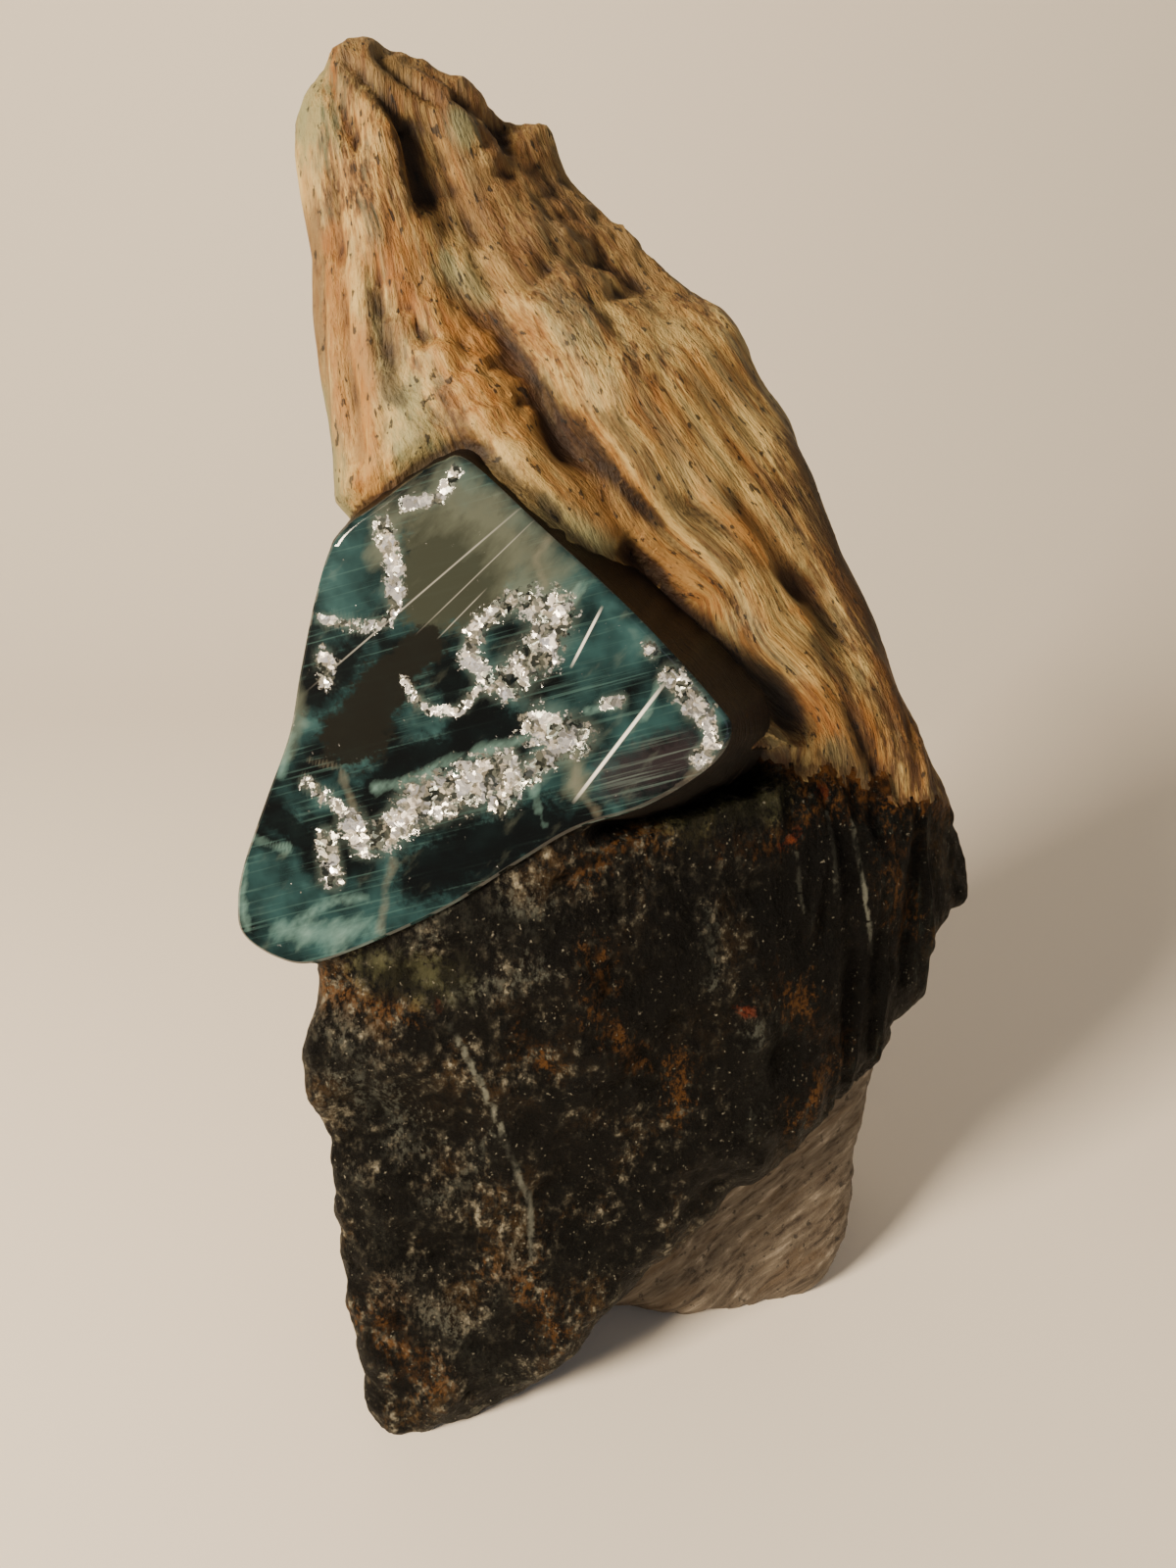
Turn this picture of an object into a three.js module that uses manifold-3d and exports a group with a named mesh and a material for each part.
// A rough lump of clinochlore, standing on a small flat spot.
// It is one natural piece of rock. The upper half is a fibrous tan rind that climbs to a knob, and the
// lower half is a dark slab. A wide window has been sawn and polished across the front, and it
// stands proud of the rind on the right. Under the slab, at the lower right, a pale fibrous face is set back.
// Units are millimetres. +Z is up, the polished window looks towards -Y, and +X is to its right.
// The origin is on the resting face, under the middle of the stone.
import * as THREE from "three";
import { ImprovedNoise } from "three/addons/math/ImprovedNoise.js";
import { mergeVertices } from "three/addons/utils/BufferGeometryUtils.js";
import Module from "manifold-3d";

// Driving dimensions of the whole stone
const STONE_HEIGHT = 144;
const STONE_HALF_WIDTH = 36;
const STONE_HALF_DEPTH = 27;
const CENTRE = new THREE.Vector3(-2, 0, 68);
const SURFACE_STEPS = 19;

// How softly neighbouring faces run into each other
const TIGHT_EDGE = 1.2;
const ROUND_EDGE = 3.2;
const SLAB_BEND = 9;
const BACK_BEND = 12;

// Roughness of the broken surface, and the spacing of its lumps
const LUMP_HEIGHT = 0.9;
const LUMP_SPACING = 9;

const point = (x, y, z) => new THREE.Vector3(x, y, z);

// A flat face of the stone: a point on it, and the way it looks.
function face(through, outward) {
  return new THREE.Plane().setFromNormalAndCoplanarPoint(outward.normalize(), through);
}

// The sawn and polished window, and the broken faces of the block that carries it
const WINDOW = face(point(-12, -9, 109), point(-0.105, -0.935, 0.339));
const BLOCK_RIGHT = face(point(3.7, -14.9, 97.4), point(0.68, -0.15, 0.72));
const BLOCK_TOP_LEFT = face(point(-20, -9.4, 105.3), point(-0.5, -0.3, 0.81));
const BLOCK_TOP_RIGHT = face(point(3.7, -14.9, 97.4), point(0.58, -0.06, 0.81));
const BLOCK_LEFT = face(point(-34.6, -22, 66), point(-0.93, 0.1, 0.25));
const BLOCK_UNDER_LEFT = face(point(-29, -24, 62.4), point(-0.3, -0.1, -0.95));
const BLOCK_UNDER = face(point(-26.1, -24.2, 62.5), point(0.335, -0.35, -0.875));
const BLOCK_UNDER_RIGHT = face(point(12.4, -21.1, 83.1), point(0.45, -0.62, -0.65));
const BLOCK_BACK = face(point(-33, -6, 68), point(-0.75, 0.66, 0));
const BLOCK_FACES = [
  BLOCK_RIGHT,
  BLOCK_TOP_RIGHT,
  BLOCK_TOP_LEFT,
  BLOCK_LEFT,
  BLOCK_UNDER_LEFT,
  BLOCK_UNDER,
  BLOCK_UNDER_RIGHT,
  BLOCK_BACK,
];
const BLOCK = { width: 64, depth: 50, height: 64, middle: point(-8, -8, 84) };
const BLOCK_STANDS_OUT = 1;

// The tan rind: its front, the part of it beside the window, the narrow strip down its left, its outer edges
const RIND_FRONT = face(point(-12, -9, 109), point(0.451, -0.739, 0.501));
const RIND_BESIDE_WINDOW = face(point(-12, -6.6, 111), point(-0.09, -0.935, 0.344));
const RIND_STRIP = face(point(-21.2, -6.9, 111), point(-0.677, -0.712, 0.187));
const RIND_LEFT = face(point(-27.3, 2.5, 121), point(-0.95, 0.28, -0.09));
const RIND_UNDER_LEFT = face(point(-26, 0, 94), point(-0.6, -0.1, -0.8));
const RIND_RIGHT = face(point(34.2, 4, 86.5), point(0.87, 0.2, 0.44));
const SHOULDER_RIGHT = face(point(23.2, 10, 113.3), point(0.73, 0.15, 0.67));
const STEP = face(point(-5, 10, 138.2), point(0.1, 0, 1));
const KNOB_RIGHT = face(point(-9.4, 10, 138.4), point(0.76, 0.1, 0.65));
const CROWN = face(point(-20, 8, 145), point(0.12, -0.1, 1));
const BACK = face(point(0, 25, 50), point(-0.05, 0.99, 0.04));
const BACK_LEFT = face(point(-26, 12, 60), point(-0.72, 0.69, 0));
const BACK_RIGHT = face(point(32, 17, 50), point(0.74, 0.66, 0.12));

// The dark slab, from its left edge round to the columns on the right
const SLAB_LEFT = face(point(-28.2, -23, 36), point(-0.97, 0.12, 0.03));
const SLAB_TOP_LEFT = face(point(-28, -20, 70), point(-0.6, 0, 0.8));
const SLAB_FRONT = face(point(-26, -24.2, 62.5), point(0.05, -0.99, 0.056));
const SLAB_RIGHT = face(point(3.7, -22, 77.9), point(0.479, -0.871, 0.105));
const COLUMNS = face(point(41, -4, 60), point(0.84, -0.52, 0.1));
const SIDE = face(point(45.6, 2, 56), point(0.98, 0.18, -0.06));
const SIDE_UNDER = face(point(36, -7, 48), point(0.55, -0.1, -0.83));

// The pale face under the slab, and the slab's slanting lower edge above it
const PALE_FACE = face(point(28.4, -8.5, 0), point(0.22, -0.97, 0.098));
const PALE_SIDE = face(point(33.5, 0, 16), point(0.98, 0.05, -0.16));
const SLAB_EDGE = face(point(13, -18, 22), point(0.68, -0.3, -0.67));

// The underside: it rests on the flat spot, and is scooped out at the front right
const RESTING_CUT = 2;
const SCOOP = { x: 9, y: -14, rise: 7.5, halfLength: 13, halfWidth: 6 };

// Lumps and hollows on a face seen from the front: the middle, the half sizes along and across,
// the turn of the long side from +X towards +Z in degrees, and the height (a hollow is negative).
const RIND_LUMPS = [
  { x: 7, z: 111, along: 19, across: 8, turn: -52, height: 3.4 },
  { x: -9, z: 112, along: 17, across: 4, turn: -48, height: 2.0 },
  { x: 22, z: 90, along: 14, across: 6, turn: -52, height: 1.6 },
  { x: -4, z: 132, along: 10, across: 6.5, turn: -42, height: -3.4 },
  { x: -14.5, z: 133, along: 6, across: 2.2, turn: -75, height: -3.0 },
  { x: -17, z: 138, along: 8, across: 5, turn: -40, height: 2.4 },
];
const SLAB_LUMPS = [
  { x: -4, z: 56, along: 16, across: 11, turn: 20, height: 2.0 },
  { x: -20, z: 44, along: 9, across: 5, turn: 10, height: -1.6 },
  { x: -22, z: 54, along: 8, across: 5, turn: 0, height: 1.2 },
  { x: -18, z: 14, along: 10, across: 7, turn: 60, height: 1.0 },
  { x: 20, z: 50, along: 14, across: 8, turn: 70, height: 1.4 },
];
const BACK_LUMPS = [
  { x: 8, z: 74, along: 30, across: 9, turn: -62, height: 4.0 },
  { x: -16, z: 92, along: 26, across: 6, turn: -80, height: 2.6 },
  { x: -8, z: 34, along: 18, across: 10, turn: -40, height: 3.0 },
  { x: 22, z: 38, along: 16, across: 7, turn: -70, height: 2.2 },
  { x: -4, z: 62, along: 22, across: 3.5, turn: -66, height: -3.2 },
  { x: 14, z: 100, along: 16, across: 3, turn: -58, height: -2.4 },
];

// Open creases between the folds of the rind, each as points (x, z) that it passes through
const RIND_CREASES = [
  { depth: 2.2, halfWidth: 1.8, through: [[-13, 127], [-7, 117], [0, 108], [7, 99], [14, 91]] },
  { depth: 1.8, halfWidth: 1.6, through: [[0, 114], [8, 104], [17, 95], [27, 83]] },
  { depth: 1.6, halfWidth: 1.6, through: [[16, 105], [24, 94], [31, 80]] },
];

// Upright ribs on the dark slab's right side
const RIBS = { from: 24, spacing: 4.6, height: 0.8 };

// Smallest and largest of two distances, with the corner between them rounded over a width.
function softMost(a, b, width) {
  const share = Math.max(width - Math.abs(a - b), 0) / width;
  return Math.max(a, b) + (share * share * width) / 4;
}

function softLeast(a, b, width) {
  return -softMost(-a, -b, width);
}

function most(distances, width) {
  return distances.reduce((sum, d) => softMost(sum, d, width));
}

function lumpHeight(lumps, x, z) {
  let height = 0;
  for (const lump of lumps) {
    const turn = THREE.MathUtils.degToRad(lump.turn);
    const dx = x - lump.x;
    const dz = z - lump.z;
    const along = (dx * Math.cos(turn) + dz * Math.sin(turn)) / lump.along;
    const across = (dz * Math.cos(turn) - dx * Math.sin(turn)) / lump.across;
    height += lump.height * Math.exp(-along * along - across * across);
  }
  return height;
}

const creaseLines = RIND_CREASES.map((crease) => ({
  ...crease,
  samples: new THREE.SplineCurve(crease.through.map(([x, z]) => new THREE.Vector2(x, z))).getSpacedPoints(40),
}));

function creaseDepth(x, z) {
  let depth = 0;
  for (const crease of creaseLines) {
    const ends = crease.samples.length - 1;
    let nearest = Infinity;
    let place = 0;
    crease.samples.forEach((sample, i) => {
      const away = Math.hypot(sample.x - x, sample.y - z);
      if (away < nearest) {
        nearest = away;
        place = i / ends;
      }
    });
    const fade = Math.sin(Math.PI * Math.min(Math.max(place, 0.04), 0.96));
    depth += crease.depth * Math.sqrt(fade) * Math.exp(-((nearest / crease.halfWidth) ** 2));
  }
  return depth;
}

function ribHeight(x) {
  if (x < RIBS.from) return 0;
  const wave = Math.abs(Math.sin((Math.PI * (x - RIBS.from)) / RIBS.spacing));
  return RIBS.height * wave;
}

// Distance to the surface of the stone without its window block: negative inside, positive outside.
function distanceToStone(p) {
  const to = (plane) => plane.distanceToPoint(p);

  const rindRelief = lumpHeight(RIND_LUMPS, p.x, p.z) - creaseDepth(p.x, p.z);
  const rind = softMost(to(RIND_FRONT) - rindRelief, to(RIND_BESIDE_WINDOW), ROUND_EDGE);
  const shoulder = softMost(to(SHOULDER_RIGHT) - Math.min(rindRelief, 0), to(STEP), ROUND_EDGE);
  const knob = softMost(to(KNOB_RIGHT), to(CROWN), ROUND_EDGE);
  const top = softMost(to(RIND_RIGHT), softLeast(shoulder, knob, TIGHT_EDGE), ROUND_EDGE);

  const slabRelief = lumpHeight(SLAB_LUMPS, p.x, p.z) + ribHeight(p.x);
  const slab = softMost(to(SLAB_FRONT) - slabRelief, to(SLAB_RIGHT) - slabRelief, SLAB_BEND);
  const columns = to(COLUMNS) - ribHeight(p.x);

  const rindLeft = most([to(RIND_LEFT), to(RIND_STRIP), to(RIND_UNDER_LEFT)], ROUND_EDGE);
  const slabLeft = softMost(to(SLAB_LEFT), to(SLAB_TOP_LEFT), ROUND_EDGE);
  const behindBlock = softMost(to(BLOCK_LEFT), to(BLOCK_UNDER_LEFT), ROUND_EDGE) + BLOCK_STANDS_OUT;
  const left = softLeast(softLeast(rindLeft, slabLeft, TIGHT_EDGE), behindBlock, TIGHT_EDGE);

  const underSlab = softLeast(to(PALE_FACE), to(SLAB_EDGE), TIGHT_EDGE);
  const side = softMost(to(SIDE), softLeast(to(PALE_SIDE), to(SIDE_UNDER), TIGHT_EDGE), TIGHT_EDGE);

  const backRelief = lumpHeight(BACK_LUMPS, p.x, p.z);
  const back = most([to(BACK) - backRelief, to(BACK_LEFT), to(BACK_RIGHT)], BACK_BEND);

  const scoopShape = Math.exp(
    -(((p.x - SCOOP.x) / SCOOP.halfLength) ** 2) - ((p.y - SCOOP.y) / SCOOP.halfWidth) ** 2,
  );
  const underside = -(p.z + RESTING_CUT) + SCOOP.rise * scoopShape;

  return most([rind, slab, columns, side, left, underSlab, back, underside, top], ROUND_EDGE);
}

const noise = new ImprovedNoise();

function lumpAt(p) {
  const s = LUMP_SPACING;
  const coarse = noise.noise(p.x / s + 7.3, p.y / s + 2.1, p.z / (1.6 * s) + 4.7);
  const fine = noise.noise((2.3 * p.x) / s, (2.3 * p.y) / s, (1.4 * p.z) / s);
  return LUMP_HEIGHT * (coarse + 0.45 * fine);
}

// Where a line from the stone's centre leaves its surface.
function surfaceAlong(direction) {
  let inside = 0;
  let outside = 1.6;
  for (let i = 0; i < 28; i++) {
    const middle = (inside + outside) / 2;
    const p = direction.clone().multiplyScalar(middle).add(CENTRE);
    if (distanceToStone(p) - lumpAt(p) < 0) inside = middle;
    else outside = middle;
  }
  return direction.clone().multiplyScalar(inside).add(CENTRE);
}

// The broken stone: an evenly divided ball, stretched to the stone's proportions, each point of
// which is then moved in or out until it lies on the surface.
function brokenStone() {
  const ball = new THREE.IcosahedronGeometry(1, SURFACE_STEPS);
  ball.deleteAttribute("normal");
  ball.deleteAttribute("uv");
  const geometry = mergeVertices(ball, 1e-4);
  const places = geometry.getAttribute("position");
  const reach = new THREE.Vector3(STONE_HALF_WIDTH, STONE_HALF_DEPTH, STONE_HEIGHT / 2).multiplyScalar(1.3);
  for (let i = 0; i < places.count; i++) {
    const direction = new THREE.Vector3().fromBufferAttribute(places, i).multiply(reach);
    const onSurface = surfaceAlong(direction);
    places.setXYZ(i, onSurface.x, onSurface.y, onSurface.z);
  }
  return geometry;
}

const wasm = await Module();
wasm.setup();

function toSolid(geometry) {
  return new wasm.Manifold(
    new wasm.Mesh({
      numProp: 3,
      vertProperties: new Float32Array(geometry.getAttribute("position").array),
      triVerts: new Uint32Array(geometry.index.array),
    }),
  );
}

function toGeometry(solid) {
  const mesh = solid.getMesh();
  const geometry = new THREE.BufferGeometry();
  geometry.setAttribute("position", new THREE.BufferAttribute(new Float32Array(mesh.vertProperties), 3));
  geometry.setIndex(new THREE.BufferAttribute(new Uint32Array(mesh.triVerts), 1));
  return geometry;
}

// Everything in front of a plane, as a box that is large enough to cut the stone with.
function everythingInFrontOf(plane) {
  const size = 2 * STONE_HEIGHT;
  const box = new THREE.BoxGeometry(size, size, size);
  box.deleteAttribute("normal");
  box.deleteAttribute("uv");
  const turn = new THREE.Quaternion().setFromUnitVectors(point(0, 0, 1), plane.normal);
  const middle = plane.projectPoint(CENTRE, new THREE.Vector3()).addScaledVector(plane.normal, size / 2);
  box.applyMatrix4(new THREE.Matrix4().compose(middle, turn, point(1, 1, 1)));
  return toSolid(mergeVertices(box, 1e-4));
}

// The block that carries the window: a flat-faced lump that stands out of the rind.
function windowBlock() {
  const box = new THREE.BoxGeometry(BLOCK.width, BLOCK.depth, BLOCK.height);
  box.deleteAttribute("normal");
  box.deleteAttribute("uv");
  box.translate(BLOCK.middle.x, BLOCK.middle.y, BLOCK.middle.z);
  return BLOCK_FACES.reduce(
    (lump, plane) => lump.subtract(everythingInFrontOf(plane)),
    toSolid(mergeVertices(box, 1e-4)),
  );
}

function cutStone() {
  const floor = face(point(0, 0, 0), point(0, 0, -1));
  return toSolid(brokenStone())
    .add(windowBlock())
    .subtract(everythingInFrontOf(WINDOW))
    .subtract(everythingInFrontOf(floor));
}

const stoneFinish = new THREE.MeshStandardMaterial({ color: 0x8f7350, roughness: 0.75, metalness: 0 });
const stone = new THREE.Mesh(toGeometry(cutStone()), stoneFinish);
stone.name = "stone";

const part = new THREE.Group();
part.add(stone);

export default part;
